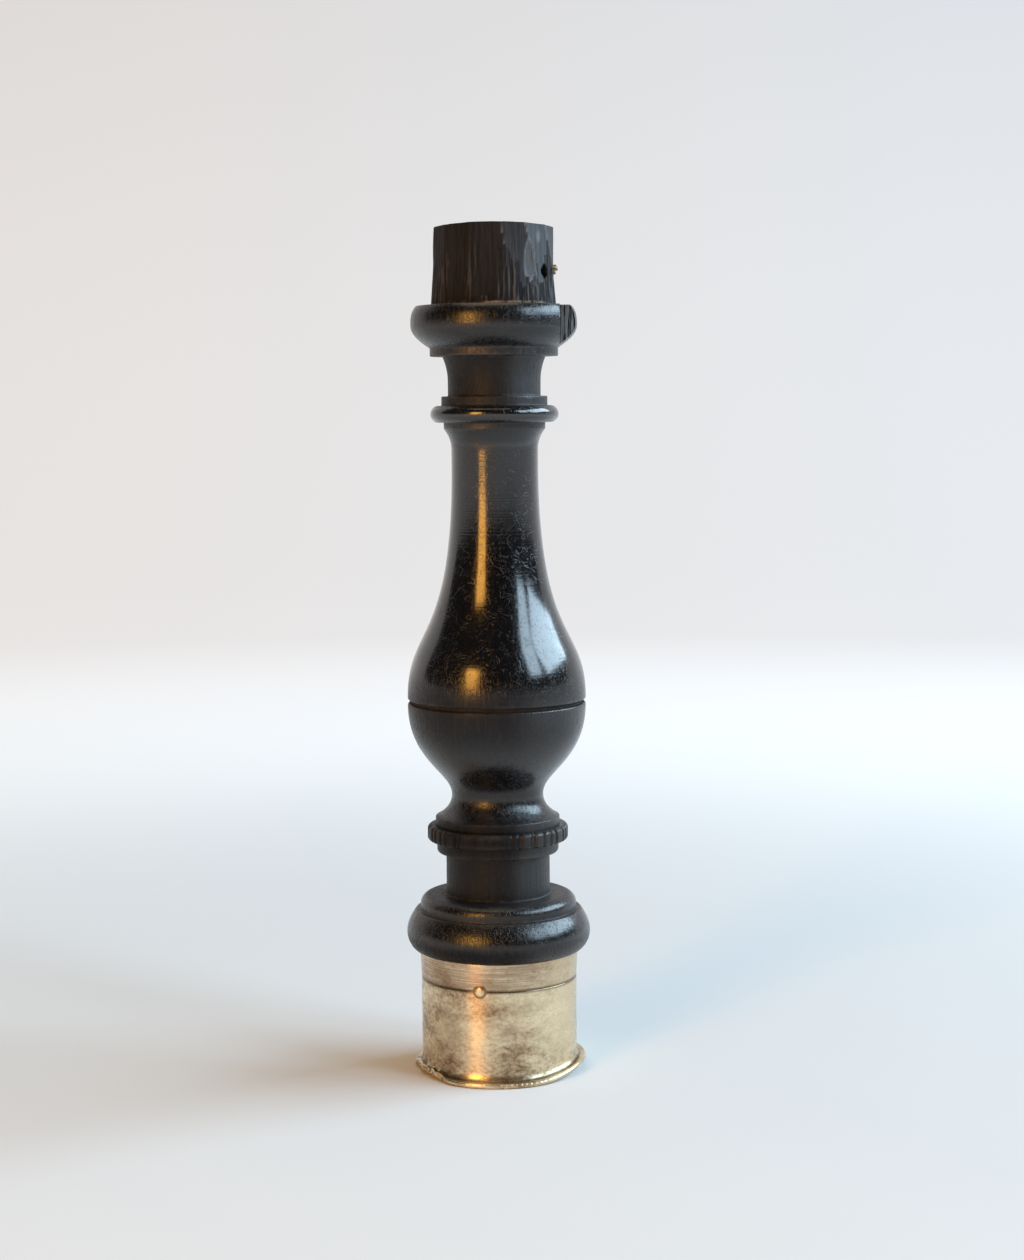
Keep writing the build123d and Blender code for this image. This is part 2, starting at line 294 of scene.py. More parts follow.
class Outline:
    """Half outline of a turned piece, drawn upwards on its outside in radius and height."""

    def __init__(self, radius, height):
        self.points = [(radius, height)]

    def line(self, *corners, step=outline_step):
        """Straight lines from corner to corner."""
        for radius, height in corners:
            last = self.points[-1]
            count = max(1, round(math.dist(last, (radius, height)) / step))
            for k in range(1, count + 1):
                t = k / count
                self.points.append((last[0] + t * (radius - last[0]), last[1] + t * (height - last[1])))

    def curve(self, radius, height, *pulls):
        """A Bezier curve past the given control points."""
        controls = [np.array(p) for p in (self.points[-1], *pulls, (radius, height))]
        length = sum(math.dist(a, b) for a, b in zip(controls, controls[1:]))
        count = max(6, round(length / outline_step))
        for k in range(1, count + 1):
            level = controls
            while len(level) > 1:
                level = [a + (b - a) * k / count for a, b in zip(level, level[1:])]
            self.points.append(tuple(level[0]))

    def upright_curve(self, radius, height, pull, last_pull):
        """An S-curve that leaves and arrives upright."""
        last = self.points[-1]
        self.curve(radius, height, (last[0], last[1] + pull), (radius, height - last_pull))

    def round(self, radius, height, corner):
        """A quarter round inside a corner."""
        last = self.points[-1]
        centre = (last[0] + radius - corner[0], last[1] + height - corner[1])
        for k in range(1, round_steps + 1):
            angle = k / round_steps * math.pi / 2
            out, along = math.cos(angle), math.sin(angle)
            self.points.append((centre[0] + out * (last[0] - centre[0]) + along * (radius - centre[0]),
                                centre[1] + out * (last[1] - centre[1]) + along * (height - centre[1])))

    def bulge(self, swell, height):
        """A convex arc straight above the last point that stands out by a swell."""
        radius, low = self.points[-1]
        half = (height - low) / 2
        size = (half * half + swell * swell) / (2 * swell)
        reach = math.asin(half / size)
        for k in range(1, bulge_steps + 1):
            angle = -reach + 2 * reach * k / bulge_steps
            self.points.append((radius + swell - size + size * math.cos(angle),
                                low + half + size * math.sin(angle)))

    def softened(self):
        """The points with every sharp corner worn round, as an array."""
        points = [np.array(p) for p in self.points]
        made = [points[0]]
        for before, corner, after in zip(points, points[1:], points[2:]):
            back, ahead = before - corner, after - corner
            back_length, ahead_length = np.linalg.norm(back), np.linalg.norm(ahead)
            back, ahead = back / back_length, ahead / ahead_length
            turn = math.pi - math.acos(float(np.clip(back @ ahead, -1, 1)))
            if turn < corner_angle:
                made.append(corner)
                continue
            longest = corner_share * min(back_length, ahead_length)
            cut = min(edge_softness * math.tan(turn / 2), longest)
            if cut + support_gap < support_share * back_length:
                made.append(corner + back * (cut + support_gap))
            for k in range(corner_steps + 1):
                t = k / corner_steps
                made.append(corner + back * cut * (1 - t) ** 2 + ahead * cut * t ** 2)
            if cut + support_gap < support_share * ahead_length:
                made.append(corner + ahead * (cut + support_gap))
        made.append(points[-1])
        return np.array(made)


def corner_reach(points, reach, concave):
    """For each point of an outline, how near it is to a convex or a concave corner, from 0 to 1."""
    steps = np.diff(points, axis=0)
    along = np.concatenate([[0], np.cumsum(np.linalg.norm(steps, axis=1))])
    heading = np.unwrap(np.arctan2(steps[:, 1], steps[:, 0]))
    turn = np.diff(heading)
    turn = np.maximum(-turn if concave else turn, 0)
    gap = (along[:, None] - along[None, 1:-1]) / reach
    return np.clip((np.exp(-gap * gap / 2) * turn[None, :]).sum(axis=1) / (math.pi / 2), 0, 1)


def upper_handle_outline():
    line = Outline(0, spigot_low)
    line.line((spigot_radius - spigot_chamfer, spigot_low), step=1.0)
    line.line((spigot_radius, spigot_low + spigot_chamfer), (spigot_radius, joint_top), step=fine_step)
    line.line((belly_radius - belly_edge_round, joint_top))
    line.round(belly_radius, joint_top + belly_edge_round, (belly_radius, joint_top))
    line.upright_curve(waist_radius, waist_low, vase_belly_pull, vase_waist_pull)
    line.line((waist_radius, waist_top))
    line.curve(flare_radius, neck_flare_top, (waist_radius, (waist_top + neck_flare_top) / 2))
    bead_half = (bead_top - bead_low) / 2
    line.line((flare_radius, bead_low), (bead_radius - bead_half, bead_low))
    line.bulge(bead_half, bead_top)
    line.line((neck_fillet_radius, bead_top), (neck_fillet_radius, cap_neck_low),
              (cap_neck_radius, cap_neck_low), (cap_neck_radius, cap_neck_top))
    line.curve(cap_flare_radius, cap_fillet_low, (cap_neck_radius, (cap_neck_top + cap_fillet_low) / 2))
    line.line((cap_fillet_radius, cap_fillet_low), (cap_fillet_radius, cap_torus_low))
    line.curve(cap_torus_radius, cap_ovolo_top, (cap_torus_radius, cap_ovolo_crossing))
    line.line((cap_torus_radius, cap_torus_top - cap_edge_drop))
    line.curve(cap_torus_radius - cap_edge_round, cap_torus_top,
               (cap_torus_radius, cap_torus_top - cap_edge_crossing))
    line.line((tenon_foot_radius, cap_torus_top), step=fine_step)
    line.line((tenon_radius, tenon_taper_top), (tenon_radius, tenon_top), step=tenon_step)
    line.line((0, tenon_top), step=0.6)
    return line.softened()


def lower_handle_outline():
    line = Outline(0, foot_tenon_low)
    line.line((foot_tenon_radius, foot_tenon_low), (foot_tenon_radius, ferrule_mouth), step=hidden_step)
    line.line((foot_torus_edge, ferrule_mouth))
    line.curve(foot_torus_radius, foot_torus_widest, (foot_torus_edge + foot_torus_low_pull, ferrule_mouth),
               (foot_torus_radius, foot_torus_widest - foot_torus_side_pull))
    line.curve(foot_ledge_radius, foot_torus_top,
               (foot_torus_radius, foot_torus_widest + foot_torus_high_pull))
    line.line((shoulder_radius, foot_torus_top), (shoulder_radius, shoulder_top - shoulder_round))
    line.round(shoulder_radius - shoulder_round, shoulder_top, (shoulder_radius, shoulder_top))
    line.line((foot_neck_radius, shoulder_top), (foot_neck_radius, foot_neck_top),
              (low_fillet_radius - low_fillet_round, foot_neck_top))
    line.round(low_fillet_radius, foot_neck_top + low_fillet_round, (low_fillet_radius, foot_neck_top))
    line.line((low_fillet_radius, ring_low), (high_fillet_radius, ring_top), (high_fillet_radius, cove_low))
    line.curve(cove_radius, cove_waist, (high_fillet_radius - cove_lip_pull, cove_low + cove_lip_rise),
               (cove_radius, cove_waist - cove_waist_pull))
    line.upright_curve(belly_radius, joint_low - belly_edge_round, belly_low_pull, belly_high_pull)
    line.round(belly_radius - belly_edge_round, joint_low, (belly_radius, joint_low))
    line.line((socket_radius, joint_low))
    line.line((socket_radius, socket_low), step=fine_step)
    line.line((0, socket_low), step=1.0)
    return line.softened()


def coin_ring_outline():
    line = Outline(ring_inner, ring_low)
    line.line((ring_radius - ring_round, ring_low))
    line.round(ring_radius, ring_low + ring_round, (ring_radius, ring_low))
    line.line((ring_radius, ring_top - ring_round))
    line.round(ring_radius - ring_round, ring_top, (ring_radius, ring_top))
    line.line((ring_inner, ring_top))
    line.line((ring_inner, ring_low), step=hidden_step)
    return line.softened()


def ferrule_outline():
    line = Outline(bore_radius, die_top)
    line.line((lip_radius, die_top), step=0.25)
    line.curve(ferrule_radius, lip_top, (ferrule_radius, die_top + lip_pull))
    line.line((ferrule_radius, line_level - line_width / 2), (ferrule_radius - line_depth, line_level),
              (ferrule_radius, line_level + line_width / 2), (mouth_radius, ferrule_mouth),
              (bore_radius, ferrule_mouth))
    line.line((bore_radius, die_top), step=1.5)
    return line.softened()


def pin_outline():
    """A peg along Z with a domed head on top, and a low rim around the head, darkened as painted shade of
    the gap round the pin.
    """
    line = Outline(0, pin_inner)
    line.line((pin_radius, pin_inner))
    line.line((pin_radius, pin_rim_level - pin_rim_depth), step=1.0)
    line.line((pin_rim_radius, pin_rim_level - pin_rim_depth), (pin_rim_radius, pin_rim_level),
              (pin_radius, pin_rim_level))
    line.curve(0, pin_outer, (pin_dome_pull, pin_outer))
    return line.softened()


# Node trees

class Nodes:
    """Adds nodes to a tree and joins them."""

    def __init__(self, tree):
        self.tree = tree

    def add(self, kind, inputs=None, **settings):
        node = self.tree.nodes.new(kind)
        for name, value in settings.items():
            setattr(node, name, value)
        for key, value in (inputs or {}).items():
            if isinstance(value, bpy.types.NodeSocket):
                self.tree.links.new(value, node.inputs[key])
            else:
                node.inputs[key].default_value = value
        return node

    def geometry(self, kind, inputs=None, **settings):
        """The first output of a geometry node."""
        return self.add("GeometryNode" + kind, inputs, **settings).outputs[0]

    def output(self, kind, **sockets):
        self.add(kind, sockets)

    def math(self, operation, *values):
        return self.add("ShaderNodeMath", dict(enumerate(values)), operation=operation).outputs[0]

    def times(self, first, *others):
        for other in others:
            first = self.math("MULTIPLY", first, other)
        return first

    def plus(self, first, *others):
        for other in others:
            first = self.math("ADD", first, other)
        return first

    def minus(self, first, second):
        return self.math("SUBTRACT", first, second)

    def vector(self, operation, *values):
        return self.add("ShaderNodeVectorMath", dict(enumerate(values)), operation=operation).outputs

    def parts(self, vector):
        """X, Y and Z of a vector."""
        return self.add("ShaderNodeSeparateXYZ", {0: vector}).outputs

    def ramp(self, value, low, high, low_out=0.0, high_out=1.0):
        """A smooth step of a value between two levels."""
        ends = {"Value": value, "From Min": low, "From Max": high, "To Min": low_out, "To Max": high_out}
        return self.add("ShaderNodeMapRange", ends, interpolation_type="SMOOTHSTEP").outputs["Result"]

    def layers(self, colour, *coats):
        """A colour under coats, each a mask and a colour."""
        for mask, coat in coats:
            colour = self.add("ShaderNodeMix", {0: mask, 6: colour, 7: coat}, data_type="RGBA").outputs[2]
        return colour

    def place(self):
        return self.add("ShaderNodeTexCoord").outputs["Object"]

    def cloud(self, scale, detail, roughness=0.5):
        """Noise in cells per metre, as many along every axis or with a number for each."""
        place = self.place()
        if isinstance(scale, tuple):
            place = self.add("ShaderNodeMapping", {"Vector": place, "Scale": scale}).outputs[0]
            scale = 1.0
        inputs = {"Vector": place, "Scale": scale, "Detail": detail, "Roughness": roughness}
        return self.add("ShaderNodeTexNoise", inputs).outputs[0]

    def stored(self, name):
        """A value stored on the mesh by name."""
        return self.add("ShaderNodeAttribute", attribute_name=name).outputs["Fac"]

    def effect(self, group, **inputs):
        """The outputs of a shared group."""
        return self.add("ShaderNodeGroup", inputs, node_tree=group).outputs

    def relief(self, *heights):
        """A normal from heights of 0 to 1, each with its depth in millimetres."""
        normal = None
        for height, depth in heights:
            inputs = {"Height": height, "Distance": depth * MM, "Strength": 1.0}
            if normal is not None:
                inputs["Normal"] = normal
            normal = self.add("ShaderNodeBump", inputs).outputs[0]
        return normal

    def finish(self, inputs):
        """Ends a material."""
        surface = self.add("ShaderNodeBsdfPrincipled", inputs).outputs[0]
        self.output("ShaderNodeOutputMaterial", Surface=surface)


def new_group(name, kind, inputs, outputs):
    """A node group with named sockets, given as name: socket type."""
    tree = bpy.data.node_groups.new(name, kind)
    for in_out, sockets in (("INPUT", inputs), ("OUTPUT", outputs)):
        for socket, socket_type in sockets.items():
            tree.interface.new_socket(socket, in_out=in_out, socket_type="NodeSocket" + socket_type)
    nodes = Nodes(tree)
    return nodes, nodes.add("NodeGroupInput").outputs


def realized(nodes, shape, finish):
    """The last steps of every geometry tree: no instances, and one finish."""
    shape = nodes.geometry("RealizeInstances", {"Geometry": shape})
    return nodes.geometry("SetMaterial", {"Geometry": shape, "Material": finish})


def turning_tree():
    """Turns an outline, given as points in the XZ plane in order, about Z."""
    inputs = {"Outline": "Geometry", "Segments": "Int", "Finish": "Material"}
    nodes, given = new_group("turn_on_lathe", "GeometryNodeTree", inputs, {"Turned": "Geometry"})
    points = nodes.geometry("AttributeDomainSize", {"Geometry": given["Outline"]})
    last_point = nodes.minus(points, 1)
    columns = nodes.plus(given["Segments"], 1)
    sizes = {"Size X": given["Segments"], "Size Y": last_point, "Vertices X": columns, "Vertices Y": points}
    sheet = nodes.geometry("MeshGrid", sizes)
    place = nodes.parts(nodes.geometry("InputPosition"))
    row = nodes.math("ROUND", nodes.plus(place["Y"], nodes.math("DIVIDE", last_point, 2)))
    turn = nodes.times(nodes.math("DIVIDE", place["X"], given["Segments"]), math.tau)

    def from_outline(value, data_type):
        sampled = {"Geometry": given["Outline"], "Value": value, "Index": row}
        return nodes.geometry("SampleIndex", sampled, data_type=data_type)

    for name in ("wear", "crease", "grime"):
        drawn = nodes.geometry("InputNamedAttribute", {"Name": name}, data_type="FLOAT")
        kept = {"Geometry": sheet, "Name": name, "Value": from_outline(drawn, "FLOAT")}
        sheet = nodes.geometry("StoreNamedAttribute", kept, data_type="FLOAT")
    drawn = from_outline(nodes.geometry("InputPosition"), "FLOAT_VECTOR")
    turned = nodes.add("ShaderNodeVectorRotate", {"Vector": drawn, "Angle": turn}, rotation_type="Z_AXIS")
    shape = nodes.geometry("SetPosition", {"Geometry": sheet, "Position": turned.outputs[0]})
    shape = nodes.geometry("MergeByDistance", {"Geometry": shape, "Distance": 0.001 * MM})
    shape = nodes.geometry("SetShadeSmooth", {"Geometry": shape})
    nodes.output("NodeGroupOutput", Turned=realized(nodes, shape, given["Finish"]))
    return nodes.tree


def turned_part(nodes, given, turning):
    """The turned form of the outline that a larger tree is given."""
    inputs = {socket: given[socket] for socket in ("Outline", "Segments", "Finish")}
    return nodes.geometry("Group", inputs, node_tree=turning)


def coin_edge_tree(turning):
    """A turned ring with upright notches of uneven depth, worn shallow on one side but for one nick."""
    sizes = ("Depth", "Width", "Jitter", "Worn Angle", "Worn Spread", "Worn Left", "Nick Angle",
             "Nick Width")
    inputs = {"Outline": "Geometry", "Segments": "Int", "Count": "Int", **dict.fromkeys(sizes, "Float"),
              "Seed": "Int", "Finish": "Material"}
    nodes, given = new_group("coin_edge", "GeometryNodeTree", inputs, {"Ring": "Geometry"})
    place = nodes.geometry("InputPosition")
    across = nodes.parts(place)
    angle = nodes.math("ARCTAN2", across["Y"], across["X"])
    turns = nodes.times(nodes.math("DIVIDE", angle, math.tau), given["Count"])
    nearest = nodes.math("ROUND", turns)
    number = nodes.math("MODULO", nodes.plus(nearest, given["Count"]), given["Count"])

    def chance(low, high, seed_step):
        span = {2: low, 3: high, "ID": number, "Seed": nodes.plus(given["Seed"], seed_step)}
        return nodes.add("FunctionNodeRandomValue", span, data_type="FLOAT").outputs[1]

    def beside(target):
        return nodes.math("ABSOLUTE", nodes.minus(angle, given[target]))

    drift = nodes.times(chance(-0.5, 0.5, 0), given["Jitter"])
    off = nodes.math("ABSOLUTE", nodes.minus(nodes.minus(turns, nearest), drift))
    worn = nodes.ramp(beside("Worn Angle"), given["Worn Spread"], 0.0, 1.0, given["Worn Left"])
    notch = nodes.times(given["Depth"], chance(0.35, 1.0, 1), worn, nodes.ramp(off, given["Width"], 0.0))
    nick = nodes.times(nodes.ramp(beside("Nick Angle"), given["Nick Width"], 0.0), given["Depth"])
    outward = nodes.vector("NORMALIZE", nodes.vector("MULTIPLY", place, (1, 1, 0))[0])[0]
    size = nodes.times(nodes.math("MAXIMUM", notch, nick), -1)
    shift = nodes.add("ShaderNodeVectorMath", {0: outward, "Scale": size}, operation="SCALE").outputs[0]
    ring = nodes.geometry("SetPosition", {"Geometry": turned_part(nodes, given, turning), "Offset": shift})
    nodes.output("NodeGroupOutput", Ring=realized(nodes, ring, given["Finish"]))
    return nodes.tree


def peg_ring_tree(turning):
    """Turned pegs that lie along radii in a ring."""
    inputs = {"Outline": "Geometry", "Segments": "Int", "Count": "Int", "Level": "Float",
              "First Angle": "Float", "Finish": "Material"}
    nodes, given = new_group("peg_ring", "GeometryNodeTree", inputs, {"Pegs": "Geometry"})
    peg = turned_part(nodes, given, turning)
    lying = nodes.geometry("Transform", {"Geometry": peg, "Rotation": (math.pi / 2, 0, 0)})
    places = nodes.geometry("MeshLine", {"Count": given["Count"], "Offset": (0, 0, 0)})
    step = nodes.math("DIVIDE", math.tau, given["Count"])
    angle = nodes.plus(given["First Angle"], nodes.times(nodes.geometry("InputIndex"), step))
    turn = nodes.add("ShaderNodeCombineXYZ", {"Z": angle}).outputs[0]
    ring = nodes.geometry("InstanceOnPoints", {"Points": places, "Instance": lying, "Rotation": turn})
    rise = nodes.add("ShaderNodeCombineXYZ", {"Z": given["Level"]}).outputs[0]
    ring = nodes.geometry("Transform", {"Geometry": ring, "Translation": rise})
    nodes.output("NodeGroupOutput", Pegs=realized(nodes, ring, given["Finish"]))
    return nodes.tree


def grown(name, outline, tree, values):
    """A plain mesh object made from an outline by a geometry tree, with the tree's inputs by name."""
    points = np.column_stack([outline[:, 0], np.zeros(len(outline)), outline[:, 1]]) * MM
    drawn = bpy.data.meshes.new(name + "_outline")
    drawn.from_pydata(points.tolist(), [], [])
    store(drawn, "wear", corner_reach(outline, wear_reach, False))
    store(drawn, "crease", corner_reach(outline, crease_reach, True))
    store(drawn, "grime", corner_reach(outline, grime_reach, True))
    source = added(name + "_outline", drawn)
    modifier = source.modifiers.new("shape", "NODES")
    modifier.node_group = tree
    for item in tree.interface.items_tree:
        if item.in_out == "INPUT" and item.name in values:
            modifier[item.identifier] = values[item.name]
    mesh = evaluated(source)
    bpy.data.objects.remove(source)
    return added(name, mesh)


def evaluated(thing):
    """The mesh that an object's modifiers make."""
    bpy.context.view_layer.update()
    return bpy.data.meshes.new_from_object(thing.evaluated_get(bpy.context.evaluated_depsgraph_get()))


def added(name, mesh):
    mesh.name = name
    thing = bpy.data.objects.new(name, mesh)
    bpy.context.scene.collection.objects.link(thing)
    return thing


# Materials

def fibre_group():
    """Upright wood fibre: broad streaks, and short open pores."""
    nodes, _ = new_group("wood_fibre", "ShaderNodeTree", {}, {"Streak": "Float", "Pores": "Float"})
    streak = nodes.cloud((2600, 2600, 130), 4.0, 0.62)
    pores = nodes.ramp(nodes.cloud((7000, 7000, 620), 2.0), 0.58, 0.72)
    nodes.output("NodeGroupOutput", Streak=streak, Pores=pores)
    return nodes.tree


def handling_group():
    """Marks of use: faint lathe rings, dull scuffed patches, curled hair scratches, and specks of dirt."""
    outputs = dict.fromkeys(("Rings", "Patches", "Scuffs", "Scratches", "Specks"), "Float")
    nodes, _ = new_group("handling_marks", "ShaderNodeTree", {}, outputs)

    def hairs(scale, lines, seed):
        """Thin broken lines along the contours of a noise."""
        shift = {"Vector": nodes.place(), "Location": (seed, seed, seed)}
        place = nodes.add("ShaderNodeMapping", shift).outputs[0]
        field = nodes.add("ShaderNodeTexNoise", {"Vector": place, "Scale": scale, "Detail": 1.0})
        off = nodes.minus(nodes.math("FRACT", nodes.times(field.outputs[0], lines)), 0.5)
        return nodes.ramp(nodes.math("ABSOLUTE", off), 0.05, 0.0)

    patches = nodes.ramp(nodes.cloud(190.0, 3.0), 0.45, 0.68)
    grains = nodes.cloud(4200.0, 3.0, 0.7)
    broken = nodes.ramp(nodes.cloud(900.0, 2.0), 0.46, 0.6)
    scratches = nodes.math("MAXIMUM", hairs(240.0, 14.0, 0.3), hairs(520.0, 8.0, 0.7))
    nodes.output("NodeGroupOutput", Rings=nodes.cloud((25, 25, 4200), 2.0), Patches=patches,
                 Scuffs=nodes.times(patches, nodes.ramp(grains, 0.48, 0.66)),
                 Scratches=nodes.times(scratches, broken), Specks=nodes.ramp(grains, 0.6, 0.72))
    return nodes.tree


def dust_group():
    """Pale dust that lies in the creases."""
    nodes, given = new_group("settled_dust", "ShaderNodeTree", {"Amount": "Float"}, {"Dust": "Float"})
    patchy = nodes.ramp(nodes.cloud(900.0, 4.0, 0.7), 0.4, 0.62)
    dust = nodes.times(patchy, nodes.ramp(nodes.stored("crease"), 0.08, 0.6), given["Amount"])
    nodes.output("NodeGroupOutput", Dust=dust)
    return nodes.tree


def tarnish_group():
    """Tarnish on silver: where it lies, its blotches, fine spots, and round-about brush lines."""
    outputs = dict.fromkeys(("Regions", "Clouds", "Spots", "Brushing"), "Float")
    nodes, _ = new_group("tarnish", "ShaderNodeTree", {}, outputs)
    nodes.output("NodeGroupOutput", Regions=nodes.cloud((95, 95, 170), 2.0),
                 Clouds=nodes.cloud((230, 230, 420), 8.0, 0.72),
                 Spots=nodes.cloud((1700, 1700, 2300), 4.0, 0.7),
                 Brushing=nodes.cloud((140, 140, 6500), 3.0))
    return nodes.tree


fibre_effect, handling_effect = fibre_group(), handling_group()
dust_effect, tarnish_effect = dust_group(), tarnish_group()


def new_material(name):
    material = bpy.data.materials.new(name)
    material.use_nodes = True
    material.node_tree.nodes.clear()
    return material, Nodes(material.node_tree)


def crack_mask(nodes):
    """A wandering upright drying crack in the foot's torus."""
    along = nodes.parts(nodes.place())
    turn = math.radians(crack_azimuth)
    sway = nodes.ramp(nodes.cloud(350.0, 2.0), 0.0, 1.0, -crack_sway * MM, crack_sway * MM)
    aside = nodes.plus(nodes.times(along["X"], math.cos(turn)),
                       nodes.times(along["Y"], math.sin(turn)), sway)
    line = nodes.ramp(nodes.math("ABSOLUTE", aside), crack_width * MM, 0.3 * crack_width * MM)
    low_end = nodes.ramp(along["Z"], crack_low * MM, (crack_low + 0.5) * MM)
    top_end = nodes.ramp(along["Z"], crack_top * MM, (crack_top - 1.5) * MM)
    on_left = nodes.ramp(along["X"], 0.0, -2.0 * MM)
    return nodes.times(line, low_end, top_end, on_left)


def polished_ebony():
    """Worn polish over black wood: open fibre where it is gone, dirt in the corners, and worn edges."""
    material, nodes = new_material("polished_ebony")
    fibre, marks = nodes.effect(fibre_effect), nodes.effect(handling_effect)
    dust = nodes.effect(dust_effect, Amount=0.16)[0]
    crack = crack_mask(nodes)
    wear, grime, polish, bare = (nodes.stored(value) for value in ("wear", "grime", "polish", "bare"))
    streak = nodes.times(nodes.ramp(fibre["Streak"], 0.48, 0.62), nodes.ramp(polish, 1.0, 0.1, 0.2, 1.0))
    lifted = nodes.times(fibre["Pores"], nodes.ramp(polish, 0.8, 0.0, 0.0, 0.35))
    speckled = nodes.times(marks["Specks"], nodes.ramp(grime, 0.0, 0.6, 0.01, 0.32))
    worn = nodes.times(wear, nodes.ramp(marks["Patches"], 0.0, 1.0, 0.15, 0.7))
    colour = nodes.layers(
        (0.0014, 0.0012, 0.0019, 1),
        (streak, (0.0095, 0.0082, 0.0095, 1)),
        (nodes.times(grime, 0.5), (0.004, 0.0036, 0.0043, 1)),
        (lifted, (0.026, 0.025, 0.028, 1)),
        (nodes.times(marks["Scuffs"], 0.04), (0.1, 0.1, 0.105, 1)),
        (speckled, (0.12, 0.12, 0.12, 1)),
        (worn, (0.085, 0.08, 0.078, 1)),
        (nodes.times(marks["Scratches"], 0.025), (0.08, 0.078, 0.08, 1)),
        (dust, (0.15, 0.13, 0.11, 1)),
        (crack, (0.0004, 0.0004, 0.0004, 1)),
    )
    rough = nodes.plus(nodes.ramp(fibre["Streak"], 0.35, 0.75, 0.1, 0.18),
                       nodes.ramp(polish, 1.0, 0.0, 0.0, 0.2), nodes.times(grime, 0.2),
                       nodes.times(marks["Scuffs"], 0.3), nodes.times(marks["Scratches"], 0.25),
                       nodes.times(dust, 0.4))
    normal = nodes.relief(
        (nodes.times(fibre["Streak"], nodes.ramp(polish, 1.0, 0.0, 0.15, 2.2)), 0.045),
        (nodes.times(fibre["Pores"], nodes.ramp(polish, 1.0, 0.0, -0.15, -2.0)), 0.022),
        (marks["Rings"], 0.009),
        (nodes.times(marks["Scratches"], -1), 0.009),
        (marks["Specks"], 0.008),
        (nodes.times(crack, -1), 0.12),
    )
    varnish = nodes.ramp(nodes.minus(polish, grime), 0.4, 1.0, 0.0, 0.5)
    gloss = nodes.ramp(bare, 0.0, 1.0, 0.55, 0.12)
    nodes.finish({"Base Color": colour, "Roughness": rough, "Normal": normal, "IOR": 1.52,
                  "Coat Weight": varnish, "Coat Roughness": 0.14, "Specular IOR Level": gloss})
    return material


def torn_ebony():
    """Wood broken along its fibre in dark and pale stripes."""
    material, nodes = new_material("torn_ebony")
    streak = nodes.effect(fibre_effect)["Streak"]
    stripes = (nodes.ramp(streak, 0.43, 0.57), (0.24, 0.235, 0.235, 1))
    colour = nodes.layers((0.004, 0.0036, 0.0042, 1), stripes)
    nodes.finish({"Base Color": colour, "Roughness": 0.7, "Normal": nodes.relief((streak, 0.4)),
                  "Specular IOR Level": bare_wood_gloss})
    return material


def bare_ebony():
    """Bare wood: dull open fibre, smoother under a knife's cut, with a painted sheen on the glossier cuts
    and a painted highlight along the ridges between them.
    """
    material, nodes = new_material("whittled_ebony")
    fibre = nodes.effect(fibre_effect)
    dust = nodes.effect(dust_effect, Amount=1.0)[0]
    knife, painted_sheen_and_gloss, torn, ridge = (nodes.stored(value) for value in ("knife", "painted_sheen_and_gloss", "torn", "ridge"))
    rise = nodes.minus(1.0, nodes.times(knife, 0.5))
    streak = nodes.ramp(fibre["Streak"], 0.43, 0.57)
    colour = nodes.layers(
        (0.0046, 0.004, 0.0047, 1),
        (nodes.times(streak, rise), (0.024, 0.0208, 0.0225, 1)),
        # Painted sheen: pale bluish grey on the glossier knife cuts.
        (nodes.times(painted_sheen_and_gloss, nodes.ramp(streak, 0.0, 1.0, 0.75, 1.0)), (0.1, 0.106, 0.115, 1)),
        (nodes.times(nodes.ramp(fibre["Streak"], 0.52, 0.6), torn, 0.8), (0.1, 0.099, 0.1, 1)),
        # Painted highlight along the ridges between knife cuts.
        (nodes.times(ridge, 0.7), (0.2, 0.207, 0.22, 1)),
        (dust, (0.3, 0.25, 0.18, 1)),
    )
    rough = nodes.minus(0.7, nodes.times(painted_sheen_and_gloss, 0.35))
    normal = nodes.relief((nodes.times(fibre["Streak"], rise), 0.22),
                          (nodes.times(fibre["Pores"], rise, -0.6), 0.05))
    nodes.finish({"Base Color": colour, "Roughness": rough, "Normal": normal,
                  "Specular IOR Level": bare_wood_gloss})
    return material


